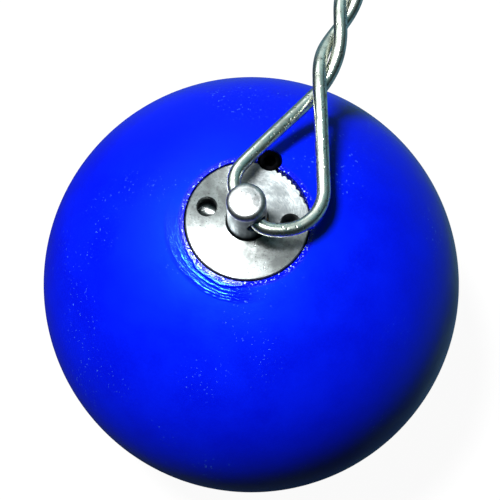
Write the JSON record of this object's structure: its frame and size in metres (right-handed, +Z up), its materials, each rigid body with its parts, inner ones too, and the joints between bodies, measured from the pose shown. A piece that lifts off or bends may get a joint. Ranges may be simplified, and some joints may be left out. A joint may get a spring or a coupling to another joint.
{
  "type": "throwing hammer",
  "caption": "Athletics throwing hammer: solid painted iron ball with a ball-bearing swivel, a twisted spring wire and a triangular hand grip.",
  "frame": {"origin": "centre of the small flat at the bottom of the ball, which it rests on", "axes": "+Z up along the swivel spindle, +Y along the wire towards the handle, +X across, along the grip"},
  "size_m": [0.1213, 1.1352, 0.112],
  "materials": {
    "painted_iron": "glossy blue paint on cast iron, light orange peel",
    "turned_steel": "turned steel with fine circular marks",
    "black_steel": "black oxide",
    "bearing_steel": "ground and polished, oiled",
    "cage_brass": "pressed brass",
    "bush_bronze": "oiled bronze",
    "lead": "dull cast lead",
    "fastener_steel": "zinc-plated",
    "spring_wire": "drawn spring steel, small nicks and pits",
    "rod_steel": "zinc-plated bent rod",
    "grip_aluminium": "turned, fine grooves"
  },
  "bodies": {
    "head": {"head_ball": "painted_iron", "trim_slug": "lead", "retaining_cap": "turned_steel", "lock_screw": "black_steel", "guide_bush": "bush_bronze", "upper_race": "bearing_steel"},
    "bearing_cage": {"ball_cage": "cage_brass", "bearing_ball_01": "bearing_steel", "bearing_ball_02": "bearing_steel", "bearing_ball_03": "bearing_steel", "bearing_ball_04": "bearing_steel", "bearing_ball_05": "bearing_steel", "bearing_ball_06": "bearing_steel", "bearing_ball_07": "bearing_steel", "bearing_ball_08": "bearing_steel", "bearing_ball_09": "bearing_steel", "bearing_ball_10": "bearing_steel"},
    "swivel": {"swivel_spindle": "turned_steel", "lower_race": "bearing_steel", "spindle_washer": "fastener_steel", "spindle_nut": "fastener_steel", "split_pin": "fastener_steel"},
    "wire": {"tether_wire": "spring_wire"},
    "handle": {"handle_frame": "rod_steel", "handle_grip": "grip_aluminium", "grip_pin_left": "fastener_steel", "grip_pin_right": "fastener_steel"}
  },
  "joints": [
    {"name": "spindle_spin", "type": "hinge", "parent": "head", "child": "swivel", "pos_m": [0, 0, 0.0905], "axis": [0, 0, 1], "continuous": true},
    {"name": "cage_orbit", "type": "hinge", "parent": "head", "child": "bearing_cage", "pos_m": [0, 0, 0.0822], "axis": [0, 0, 1], "continuous": true},
    {"name": "loop_tilt", "type": "hinge", "parent": "swivel", "child": "wire", "pos_m": [0, 0, 0.1055], "axis": [0.7837, -0.6211, 0], "range_deg": [-12, 204]},
    {"name": "handle_swing", "type": "hinge", "parent": "wire", "child": "handle", "pos_m": [0.0068, 0.97032, 0.00998], "axis": [1, 0, 0], "range_deg": [-171, 159]}
  ],
  "couplings": [
    {"joint": "cage_orbit", "follows": "spindle_spin", "ratio": 0.5}
  ]
}
